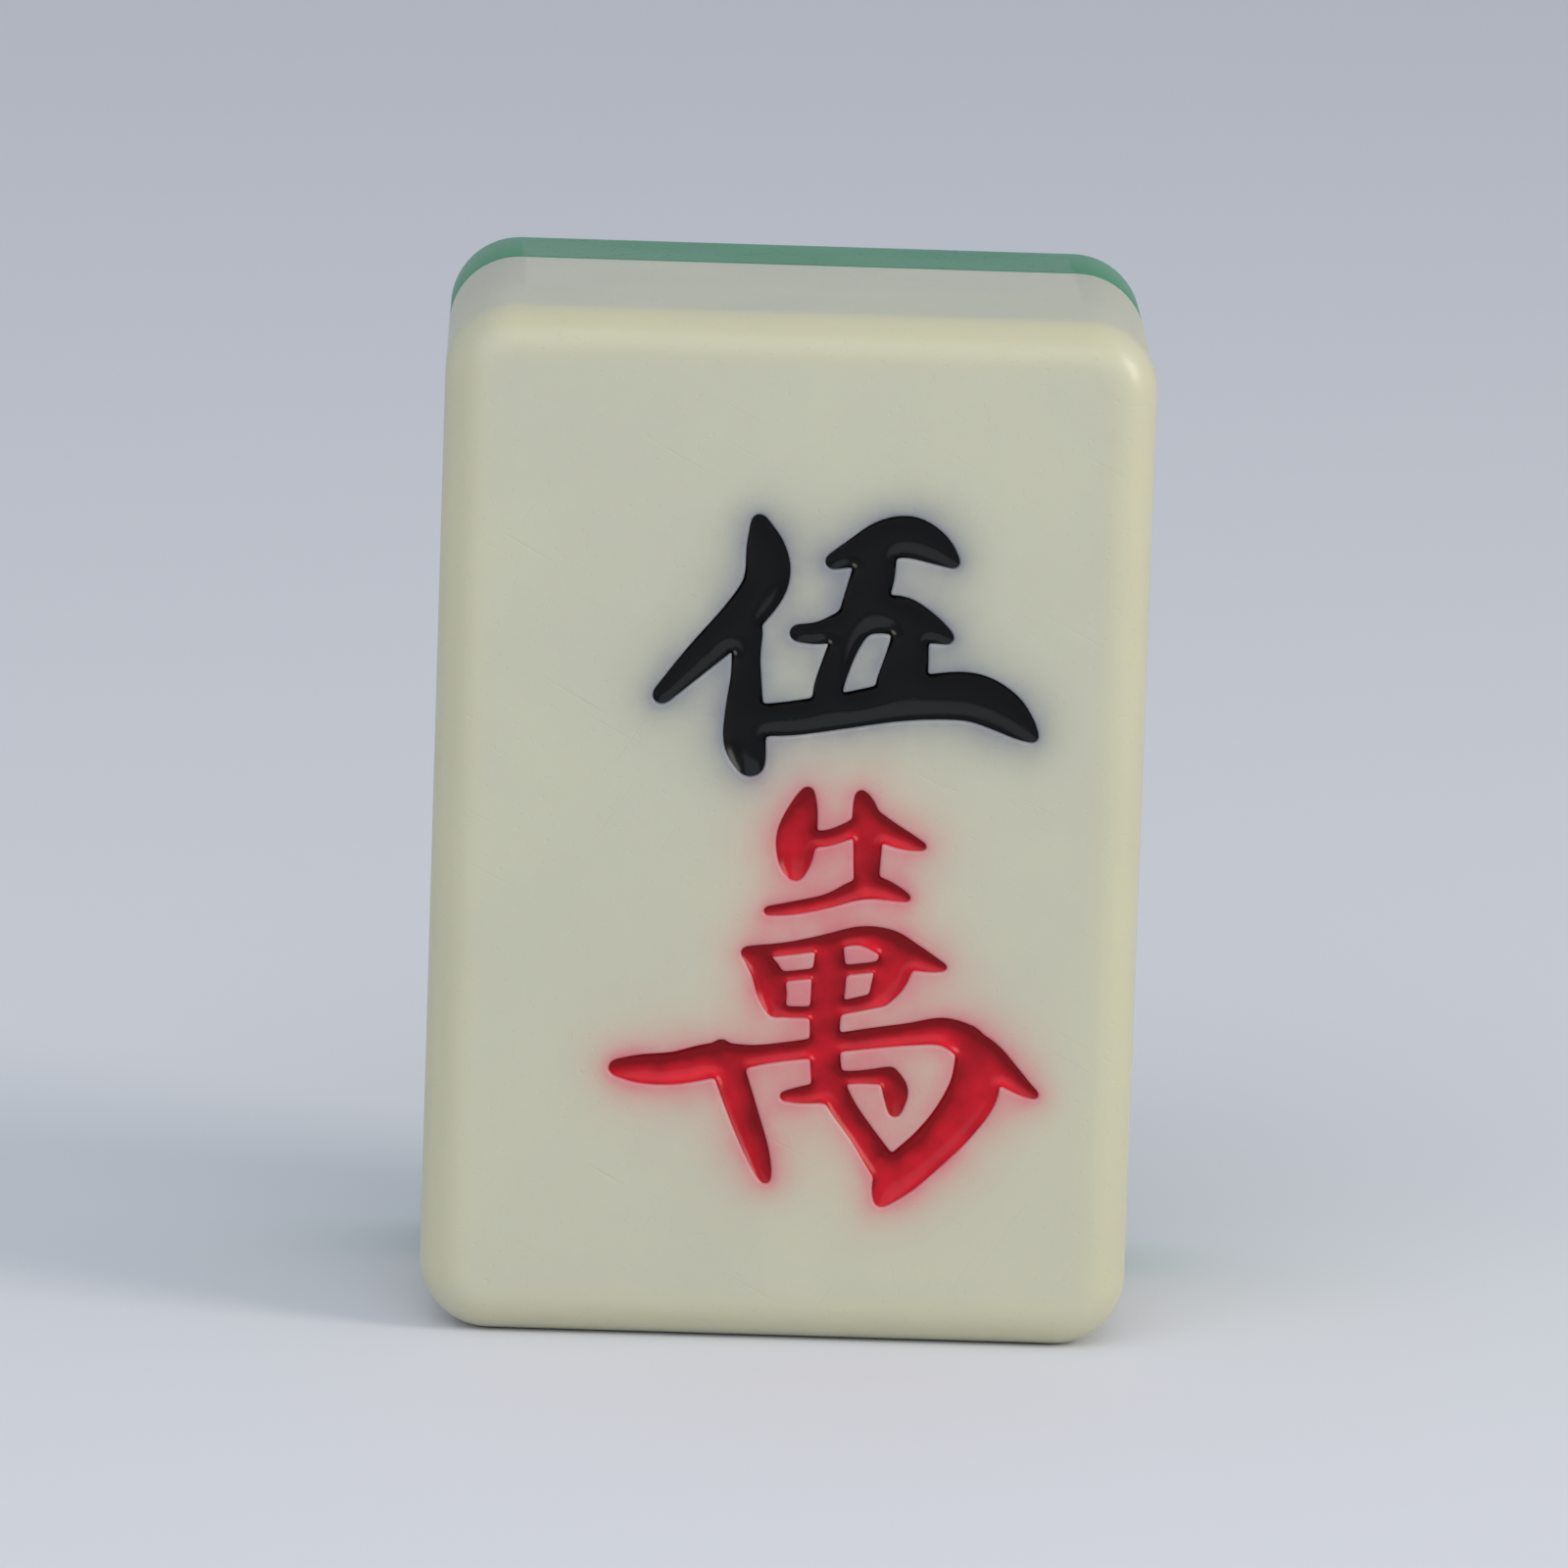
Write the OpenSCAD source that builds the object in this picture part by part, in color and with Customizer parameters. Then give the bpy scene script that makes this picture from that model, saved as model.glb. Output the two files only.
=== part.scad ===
// A two-layer mahjong tile: an ivory resin face with the marks of the five of characters
// engraved in it, a coloured resin back bonded behind it, and enamel in the engraving.
// The tile stands on its lower edge at the origin and faces -Y.

/* [Tile] */
// Width of the tile, across the face
tile_w = 15; // [13:0.5:20]
// Height of the tile, up the face
tile_h = 22; // [20:0.5:29]
// Depth of the tile, from the face to the back
tile_d = 12; // [10:0.5:16]
// Depth of the ivory layer, from the face to the seam
ivory_d = 8; // [5:0.5:8]

/* [Rounding] */
// Radius of the four corners that run from the face to the back
corner_r = 1.5; // [1.2:0.1:2.5]
// Radius of the edge round the face
face_edge_r = 0.9; // [0.4:0.1:1]
// Radius of the edge round the back
back_edge_r = 1; // [0.4:0.1:1.1]

/* [Marks] */
// Depth of the engraving below the face
groove_depth = 0.6; // [0.4:0.05:1]
// How far the enamel lies below the face
enamel_gap = 0.2; // [0.1:0.05:0.3]
// Width of every brush stroke, against the drawn width
stroke_weight = 1; // [0.9:0.05:1.05]

/* [Colours] */
// Colour of the ivory resin
ivory_colour = "#c4c4b2";
// Colour of the back resin
back_colour = "#1f7a50";
// Colour of the numeral's enamel
black_colour = "#17181a";
// Colour of the suit character's enamel
red_colour = "#b41a2c";

/* [Hidden] */

$fn = 64;
face_at = tile_d / 2;          // the face, measured forward from the middle of the tile
seam_at = face_at - ivory_d;   // the bonded seam between the layers
back_at = -tile_d / 2;
cut_past = 0.5;                // how far the engraving's cut runs out past the face

// The marks are drawn on a grid that divides the face into 15 by 22 steps, x to the right
// and y down from its upper left corner. Each brush stroke is a row of [x, y, width] stops.
grid_w = 15;
grid_h = 22;
span_steps = 6;        // sides drawn between two stops
cap_steps = 6;         // sides drawn round the end of a stroke
steepest_side = 0.8;   // sine of the most that a side leans

// The numeral five in its formal form: a standing figure at the left of the plain five
five_strokes = [
    // falling stroke of the figure
    [[6.7, 4.38, 0.36], [6.77, 4.64, 0.58], [6.86, 5.0, 0.84], [6.91, 5.42, 0.95],
     [6.79, 5.86, 0.92], [6.33, 6.48, 0.84], [5.55, 7.28, 0.66], [4.75, 8.13, 0.4]],
    // stem of the figure
    [[6.55, 6.72, 0.6], [6.51, 7.2, 0.6], [6.52, 7.7, 0.64], [6.51, 8.5, 0.82], [6.54, 9.08, 0.88],
     [6.67, 9.5, 0.64]],
    // upper bar
    [[8.27, 5.17, 0.34], [8.75, 4.96, 0.6], [9.34, 4.67, 0.82], [9.9, 4.61, 0.89],
     [10.42, 4.82, 0.68], [10.8, 5.1, 0.3]],
    // slanting stem
    [[9.2, 4.95, 0.8], [9.11, 5.5, 0.92], [8.93, 6.1, 0.88], [8.62, 6.8, 0.66], [8.4, 7.4, 0.61],
     [8.26, 7.9, 0.62], [8.26, 8.3, 0.62]],
    // middle bar
    [[7.58, 6.72, 0.38], [8.05, 6.7, 0.48], [8.6, 6.5, 0.62], [9.2, 6.3, 0.76], [9.75, 6.29, 0.84],
     [10.35, 6.54, 0.6], [10.73, 6.72, 0.3]],
    // right stem
    [[9.96, 6.6, 0.72], [9.91, 7.1, 0.88], [9.85, 7.5, 1], [9.8, 7.85, 1.12]],
    // long lower bar
    [[6.9, 8.6, 0.68], [7.6, 8.53, 0.74], [8.7, 8.33, 0.77], [9.6, 8.14, 0.84],
     [10.5, 7.99, 0.98], [11.3, 7.98, 1.04], [11.9, 8.22, 0.92], [12.33, 8.54, 0.62],
     [12.62, 8.8, 0.24]],
];

// The top of the character for ten thousand: two sprouts over a bar
myriad_top_strokes = [
    // left sprout
    [[7.9, 10.14, 0.3], [7.82, 10.5, 0.6], [7.7, 11.05, 0.84], [7.68, 11.52, 0.72],
     [7.7, 11.84, 0.38]],
    // tie between the sprouts
    [[7.85, 11.12, 0.36], [8.4, 11.07, 0.34], [9.05, 10.79, 0.38]],
    // right sprout
    [[9.03, 10.14, 0.26], [9.13, 10.5, 0.54], [9.2, 11.1, 0.6], [9.2, 11.65, 0.56],
     [9.2, 12.1, 0.5]],
    // leaf of the right sprout
    [[9.25, 10.69, 0.54], [9.65, 10.94, 0.5], [10.06, 11.11, 0.36], [10.38, 11.21, 0.17]],
    // bar
    [[7.15, 12.68, 0.2], [7.7, 12.6, 0.28], [8.4, 12.43, 0.3], [8.95, 12.2, 0.42],
     [9.4, 12.12, 0.48], [9.8, 12.22, 0.34], [10.08, 12.32, 0.17]],
];

// The rest of the character: a field with four windows over an open frame with a hook
myriad_lower_strokes = [
    // left side of the field
    [[6.79, 13.65, 0.3], [7.12, 13.95, 0.6], [7.28, 14.4, 0.63], [7.37, 14.78, 0.4]],
    // top of the field, out to its shoulder
    [[6.73, 13.59, 0.28], [7.6, 13.48, 0.28], [8.4, 13.32, 0.34], [9.1, 13.16, 0.4],
     [9.7, 13.3, 0.6], [10.2, 13.56, 0.56], [10.6, 13.71, 0.37], [10.9, 13.79, 0.17]],
    // right side of the field
    [[9.94, 13.55, 0.76], [9.78, 14.05, 0.72], [9.58, 14.44, 0.48]],
    // middle of the field
    [[7.4, 14.1, 0.2], [8.5, 13.95, 0.22], [9.6, 13.8, 0.22]],
    // bottom of the field
    [[7.4, 14.84, 0.24], [8.3, 14.82, 0.25], [9.0, 14.66, 0.3], [9.57, 14.52, 0.32]],
    // centre stem
    [[8.48, 13.52, 0.6], [8.48, 14.2, 0.72], [8.43, 15, 0.64], [8.46, 15.8, 0.64],
     [8.52, 16.4, 0.66]],
    // stroke from the stem down to the tip
    [[8.55, 16.3, 0.6], [8.88, 16.88, 0.54], [9.28, 17.42, 0.52], [9.8, 18.16, 0.62]],
    // top of the frame
    [[8.55, 15.5, 0.4], [9.4, 15.36, 0.44], [10.2, 15.25, 0.48], [10.93, 15.17, 0.6],
     [11.46, 15.37, 0.72]],
    // shoulder of the frame
    [[11.25, 15.28, 0.66], [11.84, 15.67, 0.72], [12.33, 16.07, 0.54], [12.69, 16.34, 0.34],
     [12.93, 16.48, 0.18]],
    // sweep down to the tip
    [[11.64, 15.7, 0.84], [11.63, 16.4, 1.06], [11.23, 17.11, 0.98], [10.72, 17.7, 0.9],
     [10.22, 18.18, 0.9], [9.92, 18.5, 0.74], [9.75, 18.82, 0.36]],
    // arm of the inner hook
    [[8.6, 16.24, 0.3], [9.2, 16.2, 0.28], [9.84, 16.15, 0.4]],
    // drop of the inner hook
    [[9.84, 16.17, 0.4], [9.97, 16.49, 0.54], [9.97, 16.9, 0.3]],
    // long left arm
    [[4.05, 16.15, 0.36], [4.6, 16.16, 0.62], [5.3, 16.12, 0.7], [6.1, 15.93, 0.74],
     [6.9, 15.81, 0.46], [7.6, 15.7, 0.4], [8.4, 15.58, 0.44]],
    // left leg
    [[6.25, 15.65, 0.38], [6.4, 16.05, 0.64], [6.56, 16.5, 0.66], [6.78, 17.1, 0.62],
     [7.03, 17.75, 0.54], [7.19, 18.2, 0.4], [7.28, 18.47, 0.22]],
    // tick left of the stem
    [[7.63, 16.66, 0.22], [8.0, 16.62, 0.37], [8.5, 16.55, 0.46]],
];

// A stop of a stroke, from the grid to millimetres on the face
function on_face(stop) = [
    (stop.x / grid_w - 0.5) * tile_w,
    (1 - stop.y / grid_h) * tile_h,
    stop.z * stroke_weight * min(tile_w / grid_w, tile_h / grid_h)
];

// A smooth curve through four stops, at t from the second to the third
function between(a, b, c, d, t) =
    0.5 * (2 * b + (c - a) * t + (2 * a - 5 * b + 4 * c - d) * t * t
           + (3 * b - a - 3 * c + d) * t * t * t);

// The stops that lie along a stroke, with the curve carried through all of them
function along(stops) =
    let (last = len(stops) - 1)
    concat(
        [for (i = [0 : last - 1], k = [0 : span_steps - 1])
            between(stops[max(i - 1, 0)], stops[i], stops[i + 1], stops[min(i + 2, last)],
                    k / span_steps)],
        [stops[last]]);

// The way from the point before to the point after one of a stroke's points
function way(line, i) = line[min(i + 1, len(line) - 1)] - line[max(i - 1, 0)];

// The heading of a stroke at one of its points
function heading(line, i) = let (w = way(line, i)) atan2(w.y, w.x);

// The angle from square that the sides take where the stroke swells or thins, so that they
// run smoothly into its round ends
function lean(line, i) =
    let (w = way(line, i))
    asin(max(-steepest_side, min(steepest_side, w.z / 2 / norm([w.x, w.y]))));

function beside(point, angle) = [
    point.x + point.z / 2 * cos(angle),
    point.y + point.z / 2 * sin(angle)
];

// The outline of one brush stroke: up its right side, round its end, back down its left side
// and round its start
function brush_outline(stops) =
    let (line = along([for (stop = stops) on_face(stop)]),
         last = len(line) - 1,
         square_to = [for (i = [0 : last]) 90 + lean(line, i)],
         end_sweep = 2 * square_to[last],
         start_sweep = 360 - 2 * square_to[0])
    concat(
        [for (i = [0 : last]) beside(line[i], heading(line, i) - square_to[i])],
        [for (k = [1 : cap_steps - 1])
            beside(line[last], heading(line, last) - square_to[last] + end_sweep * k / cap_steps)],
        [for (i = [last : -1 : 0]) beside(line[i], heading(line, i) + square_to[i])],
        [for (k = [1 : cap_steps - 1])
            beside(line[0], heading(line, 0) + square_to[0] + start_sweep * k / cap_steps)]);

module brush_mark(strokes) {
    for (stops = strokes)
        polygon(brush_outline(stops));
}

// Stands the tile up: what is drawn lying on its back faces forward
module stand_up() {
    rotate([90, 0, 0])
        children();
}

// Section through one edge of a layer, the corner away from the seam rounded off
module edge_section(reach, depth, edge_r) {
    difference() {
        square([reach, depth]);
        translate([reach - edge_r, depth - edge_r])
            difference() {
                square(2 * edge_r);
                circle(edge_r);
            }
    }
}

// A layer of the tile on its seam: corners turned from the section, sides drawn along it
module rounded_layer(depth, edge_r) {
    inner_w = tile_w - 2 * corner_r;
    inner_h = tile_h - 2 * corner_r;
    translate([0, tile_h / 2, 0]) {
        translate([-inner_w / 2, -inner_h / 2, 0])
            cube([inner_w, inner_h, depth]);
        for (turn = [0, 180]) {
            rotate([0, 0, turn])
                translate([inner_w / 2, inner_h / 2, 0])
                    rotate([90, 0, 0])
                        linear_extrude(inner_h)
                            edge_section(corner_r, depth, edge_r);
            rotate([0, 0, turn + 90])
                translate([inner_h / 2, inner_w / 2, 0])
                    rotate([90, 0, 0])
                        linear_extrude(inner_w)
                            edge_section(corner_r, depth, edge_r);
            rotate([0, 0, turn])
                translate([inner_w / 2, inner_h / 2, 0])
                    rotate_extrude(angle = 90)
                        edge_section(corner_r, depth, edge_r);
            rotate([0, 0, turn + 90])
                translate([inner_h / 2, inner_w / 2, 0])
                    rotate_extrude(angle = 90)
                        edge_section(corner_r, depth, edge_r);
        }
    }
}

// The engraving, cut from the floor of the groove out through the face
module engraving(strokes) {
    translate([0, 0, face_at - groove_depth])
        linear_extrude(groove_depth + cut_past)
            brush_mark(strokes);
}

// Enamel that fills the engraving up to a little below the face
module enamel(strokes) {
    translate([0, 0, face_at - groove_depth])
        linear_extrude(groove_depth - enamel_gap)
            brush_mark(strokes);
}

module face_layer() {
    color(ivory_colour)
        stand_up()
            difference() {
                translate([0, 0, seam_at])
                    rounded_layer(ivory_d, face_edge_r);
                engraving(five_strokes);
                engraving(myriad_top_strokes);
                engraving(myriad_lower_strokes);
            }
}

module back_layer() {
    color(back_colour)
        stand_up()
            translate([0, 0, seam_at])
                mirror([0, 0, 1])
                    rounded_layer(seam_at - back_at, back_edge_r);
}

module five_enamel() {
    color(black_colour)
        stand_up()
            enamel(five_strokes);
}

module myriad_top_enamel() {
    color(red_colour)
        stand_up()
            enamel(myriad_top_strokes);
}

module myriad_lower_enamel() {
    color(red_colour)
        stand_up()
            enamel(myriad_lower_strokes);
}

face_layer();
back_layer();
five_enamel();
myriad_top_enamel();
myriad_lower_enamel();
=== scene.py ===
import math

import bmesh
import bpy
import numpy as np
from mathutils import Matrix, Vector, geometry, kdtree


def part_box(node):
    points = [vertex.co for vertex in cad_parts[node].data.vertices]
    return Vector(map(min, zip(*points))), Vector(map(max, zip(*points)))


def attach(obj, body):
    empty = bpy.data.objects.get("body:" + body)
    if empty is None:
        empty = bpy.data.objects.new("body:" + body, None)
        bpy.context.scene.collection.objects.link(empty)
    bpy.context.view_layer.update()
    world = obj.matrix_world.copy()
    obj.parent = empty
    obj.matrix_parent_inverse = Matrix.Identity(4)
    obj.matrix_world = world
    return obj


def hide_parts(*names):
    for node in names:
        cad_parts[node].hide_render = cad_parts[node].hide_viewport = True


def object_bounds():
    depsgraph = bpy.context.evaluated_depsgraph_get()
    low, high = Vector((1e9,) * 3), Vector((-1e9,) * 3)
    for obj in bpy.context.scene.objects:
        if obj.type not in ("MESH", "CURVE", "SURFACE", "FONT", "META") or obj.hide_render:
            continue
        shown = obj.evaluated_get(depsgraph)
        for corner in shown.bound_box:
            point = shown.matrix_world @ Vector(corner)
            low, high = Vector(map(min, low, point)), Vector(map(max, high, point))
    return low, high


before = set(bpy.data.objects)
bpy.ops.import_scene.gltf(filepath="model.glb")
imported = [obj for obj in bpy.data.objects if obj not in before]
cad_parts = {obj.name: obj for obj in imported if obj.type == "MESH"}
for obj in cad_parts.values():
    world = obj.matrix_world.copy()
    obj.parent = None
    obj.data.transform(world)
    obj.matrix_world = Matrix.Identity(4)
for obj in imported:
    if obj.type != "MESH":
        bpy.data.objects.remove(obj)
cadLow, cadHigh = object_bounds()
print("frame loaded:", ", ".join(sorted(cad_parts)))

mm = 0.001          # the pieces are modelled in millimetres and brought down to metres when done
touching = 0.0001   # what is nearer than this, in millimetres, touches
squarely = 0.9      # a face is a front one if its normal points to the front at least this much


# working in edit mode

def workOn(obj):
    bpy.ops.object.select_all(action="DESELECT")
    obj.select_set(True)
    bpy.context.view_layer.objects.active = obj


def startEditing(obj, kind):
    workOn(obj)
    bpy.ops.object.mode_set(mode="EDIT")
    bpy.ops.mesh.select_mode(type=kind)
    bpy.ops.mesh.select_all(action="DESELECT")


def stopEditing():
    bpy.ops.object.mode_set(mode="OBJECT")


def pickEdges(obj, wanted):
    bpy.ops.mesh.select_mode(type="EDGE")
    bpy.ops.mesh.select_all(action="DESELECT")
    editMesh = bmesh.from_edit_mesh(obj.data)
    for edge in editMesh.edges:
        edge.select_set(wanted(edge))
    bmesh.update_edit_mesh(obj.data)


def pickFaces(obj, wanted):
    bpy.ops.mesh.select_mode(type="FACE")
    bpy.ops.mesh.select_all(action="DESELECT")
    editMesh = bmesh.from_edit_mesh(obj.data)
    for face in editMesh.faces:
        face.select_set(wanted(face))
    bmesh.update_edit_mesh(obj.data)


def nodeBox(node):
    low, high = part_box(node)
    return low / mm, high / mm


def inPlane(edge, y):
    return all(abs(vert.co.y - y) < touching for vert in edge.verts)


def facesFront(face):
    return face.normal.y < -squarely


# the outlines of the marks, taken from the seated enamel

markEdges = {
    "merge": 0.001,     # points of the CAD mesh nearer than this are one
    "spacing": 0.035,   # between the points of an outline
    "longest": 1.4,     # sides longer than this many spacings are halved
    "halvings": 4,
    "shortest": 0.45,   # points nearer than this many spacings become one
    "rounding": 7,      # smoothing passes over the corners where strokes meet
    "aside": 0.004,     # how far beside an outline its two sides are told apart
}


def outlineOf(node):
    # the wire round the front of one enamel pool, evenly spaced and with its corners rounded
    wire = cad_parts[node].copy()
    wire.data = wire.data.copy()
    wire.parent = None
    bpy.context.scene.collection.objects.link(wire)
    wire.scale = (1 / mm, 1 / mm, 1 / mm)
    workOn(wire)
    bpy.ops.object.transform_apply(location=True, rotation=True, scale=True)
    startEditing(wire, "FACE")
    bpy.ops.mesh.select_all(action="SELECT")
    bpy.ops.mesh.remove_doubles(threshold=markEdges["merge"])
    pickFaces(wire, lambda face: not facesFront(face))
    bpy.ops.mesh.delete(type="FACE")
    bpy.ops.mesh.select_all(action="SELECT")
    bpy.ops.mesh.region_to_loop()
    bpy.ops.mesh.select_all(action="INVERT")
    bpy.ops.mesh.delete(type="EDGE")
    longest = markEdges["longest"] * markEdges["spacing"]
    for halving in range(markEdges["halvings"]):
        pickEdges(wire, lambda edge: edge.calc_length() > longest)
        bpy.ops.mesh.subdivide(number_cuts=1)
    bpy.ops.mesh.select_all(action="SELECT")
    bpy.ops.mesh.remove_doubles(threshold=markEdges["shortest"] * markEdges["spacing"])
    bpy.ops.mesh.select_all(action="SELECT")
    bpy.ops.mesh.vertices_smooth(factor=0.5, repeat=markEdges["rounding"])
    stopEditing()
    loops = walkLoops(wire.data)
    bpy.data.objects.remove(wire)
    return loops


def walkLoops(mesh):
    # the wire's points as closed loops of (x, z), each with the inside of the mark on its left
    beside = {vert.index: [] for vert in mesh.vertices}
    for edge in mesh.edges:
        a, b = edge.vertices
        beside[a].append(b)
        beside[b].append(a)
    loops = []
    left = {index for index, others in beside.items() if len(others) == 2}
    while left:
        loop = [min(left)]
        while loop[-1] in left:
            left.discard(loop[-1])
            loop += [other for other in beside[loop[-1]] if other in left][:1]
        loops.append(np.array([(mesh.vertices[i].co.x, mesh.vertices[i].co.z) for i in loop]))
    facing = []
    for loop in loops:
        justBeside = loop[:1] + outward(loop)[:1] * markEdges["aside"]
        facing.append(loop[::-1] if insideMark(justBeside, loops)[0] else loop)
    return facing


def outward(loop):
    # the directions square to an outline at each of its points, away from the mark
    along = np.roll(loop, -1, axis=0) - np.roll(loop, 1, axis=0)
    along /= np.linalg.norm(along, axis=1)[:, None]
    return np.stack([along[:, 1], -along[:, 0]], axis=1)


def insideMark(points, loops):
    # counts how often a level line from each point crosses the outlines, batch by batch
    batch = 2000
    inside = np.zeros(len(points), bool)
    a = np.concatenate(loops)
    b = np.concatenate([np.roll(loop, -1, axis=0) for loop in loops])
    run = (b[:, 0] - a[:, 0]) / np.where(b[:, 1] == a[:, 1], 1, b[:, 1] - a[:, 1])
    for first in range(0, len(points), batch):
        x = points[first:first + batch, 0, None]
        y = points[first:first + batch, 1, None]
        spans = (a[:, 1] > y) != (b[:, 1] > y)
        crossed = spans & (x < a[:, 0] + (y - a[:, 1]) * run)
        inside[first:first + batch] = crossed.sum(axis=1) % 2 == 1
    return inside


def distanceTo(loops, points):
    # from each point to the nearest outline
    a = np.concatenate(loops)
    before = np.concatenate([np.roll(loop, 1, axis=0) for loop in loops])
    after = np.concatenate([np.roll(loop, -1, axis=0) for loop in loops])
    tree = kdtree.KDTree(len(a))
    for i, point in enumerate(a):
        tree.insert((*point, 0), i)
    tree.balance()
    near = np.array([tree.find((*point, 0))[1] for point in points], int)
    away = []
    for b in (before[near], after[near]):
        along = b - a[near]
        share = ((points - a[near]) * along).sum(axis=1) / (along ** 2).sum(axis=1)
        foot = a[near] + along * np.clip(share, 0, 1)[:, None]
        away.append(np.linalg.norm(points - foot, axis=1))
    return np.minimum(*away)


filling = {
    "ringGap": 0.9,     # share of a ring's distance that its points keep from every outline
    "rimGap": 0.1,      # between the rings and the rim
    "spreadGap": 0.4,   # share of its own step that the even spread keeps from the rest
    "tolerance": 1e-7,  # of the triangulation
}


def honeycomb(low, high, step):
    # evenly spread points, each row shifted by half a step from the one before
    points = []
    for number, y in enumerate(np.arange(low[1], high[1], step * math.sqrt(3) / 2)):
        shift = step / 2 if number % 2 else 0
        points += [(x, y) for x in np.arange(low[0] + shift, high[0], step)]
    return np.array(points)


def fillFlat(loops, rings, step, side, rim=None):
    # flat triangles that follow the outlines: rings of points at set distances to one side of
    # them, then an even spread, inside the rim if there is one. side is 1 outside the marks
    # and -1 inside them
    parts = list(loops)
    for ring in rings:
        moved = np.concatenate([loop + outward(loop) * ring * side for loop in loops])
        moved = moved[distanceTo(loops, moved) > filling["ringGap"] * ring]
        if rim is not None:
            clear = distanceTo([rim], moved) > filling["rimGap"]
            moved = moved[insideMark(moved, [rim]) & clear]
        parts.append(moved)
    bounds = np.concatenate(loops if rim is None else [rim])
    spread = honeycomb(bounds.min(axis=0), bounds.max(axis=0), step)
    gap = filling["spreadGap"] * step
    spread = spread[distanceTo(loops, spread) > rings[-1] + gap]
    spread = spread[insideMark(spread, loops) == (side < 0)]
    if rim is not None:
        spread = spread[insideMark(spread, [rim])]
        spread = spread[distanceTo([rim], spread) > gap]
        parts.append(rim)
    points = np.concatenate(parts + [spread])
    outlineSides = []
    first = 0
    for loop in loops:
        outlineSides += [(first + i, first + (i + 1) % len(loop)) for i in range(len(loop))]
        first += len(loop)
    made = geometry.delaunay_2d_cdt([Vector(p) for p in points], outlineSides, [], 0,
                                    filling["tolerance"], False)
    flat = np.array([tuple(p) for p in made[0]])
    triangles = np.array([tuple(face) for face in made[2]], int)
    middles = flat[triangles].mean(axis=1)
    return flat, triangles[insideMark(middles, loops) == (side < 0)]


def meshFrom(name, flat, depths, triangles, masks):
    # a mesh of the flat points, each set back from the tile's face by its depth. The masks
    # are stored on its points for the finishes to read
    mesh = bpy.data.meshes.new(name)
    points = [(p[0], faceAt + depth, p[1]) for p, depth in zip(flat, depths)]
    mesh.from_pydata(points, [], [tuple(face) for face in triangles])
    for mask, values in masks.items():
        stored = mesh.attributes.new(mask, "FLOAT", "POINT")
        stored.data.foreach_set("value", np.asarray(values, np.float32))
    obj = bpy.data.objects.new(name, mesh)
    bpy.context.scene.collection.objects.link(obj)
    startEditing(obj, "VERT")
    bpy.ops.mesh.select_all(action="SELECT")
    bpy.ops.mesh.delete_loose(use_verts=True, use_edges=True, use_faces=False)
    stopEditing()
    return obj


settling = {
    "turns": 400,           # towards balance, at most
    "enough": 1e-10,        # what may be left out of balance in the end
    "leastArea": 1e-9,      # slivers count as this large, so that none outweighs its neighbours
    "leastPull": 1e-12,     # keeps the last turns from dividing by nothing
}


def spreading(points, triangles, walls, reach):
    # 1 at the walls, fading away from them over about the reach, as the painted halo round the
    # marks and the edge of a liquid do. Where walls face each other closely it stays high between
    # them
    count = len(points)
    share = np.zeros(count)
    sides = []
    for corner in range(3):
        apex, a, b = (triangles[:, (corner + step) % 3] for step in range(3))
        toA, toB = points[a] - points[apex], points[b] - points[apex]
        twiceArea = np.abs(toA[:, 0] * toB[:, 1] - toA[:, 1] * toB[:, 0])
        share += np.bincount(apex, twiceArea / 6, count)
        twiceArea = np.maximum(twiceArea, settling["leastArea"])
        sides.append((a, b, (toA * toB).sum(axis=1) / twiceArea / 2))

    def pull(level):
        balance = share * level / reach ** 2
        for a, b, weight in sides:
            flow = weight * (level[a] - level[b])
            balance += np.bincount(a, flow, count) - np.bincount(b, flow, count)
        balance[walls] = 0
        return balance

    level = walls.astype(float)
    rest = -pull(level)
    step = rest.copy()
    for turn in range(settling["turns"]):
        pulled = pull(step)
        left = rest @ rest
        along = left / max(step @ pulled, settling["leastPull"])
        level += along * step
        rest -= along * pulled
        if rest @ rest < settling["enough"]:
            break
        step = rest + step * (rest @ rest) / left
    return level


markNodes = ["five_enamel", "myriad_top_enamel", "myriad_lower_enamel"]
outlines = {node: outlineOf(node) for node in markNodes}
print("outlines:", {node: sum(len(loop) for loop in loops) for node, loops in outlines.items()})


# the two resin layers

layerShape = {
    "cornerRadius": 1.5,    # of the four corners that run from face to back
    "cornerSteps": 14,
    "faceRadius": 0.9,      # of the edge round the face
    "backRadius": 1.0,      # of the edge round the back
    "edgeSteps": 12,
    "seamBreak": 0.035,     # the fine break of both edges at the seam
    "seamSteps": 2,
    "margin": 0.15,         # the band inside each flat that takes up the turn of the shading
    "leastSide": 20,        # a flat larger than this, in square millimetres, is a whole side
}


def wholeSide(face):
    return face.calc_area() > layerShape["leastSide"]


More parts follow.
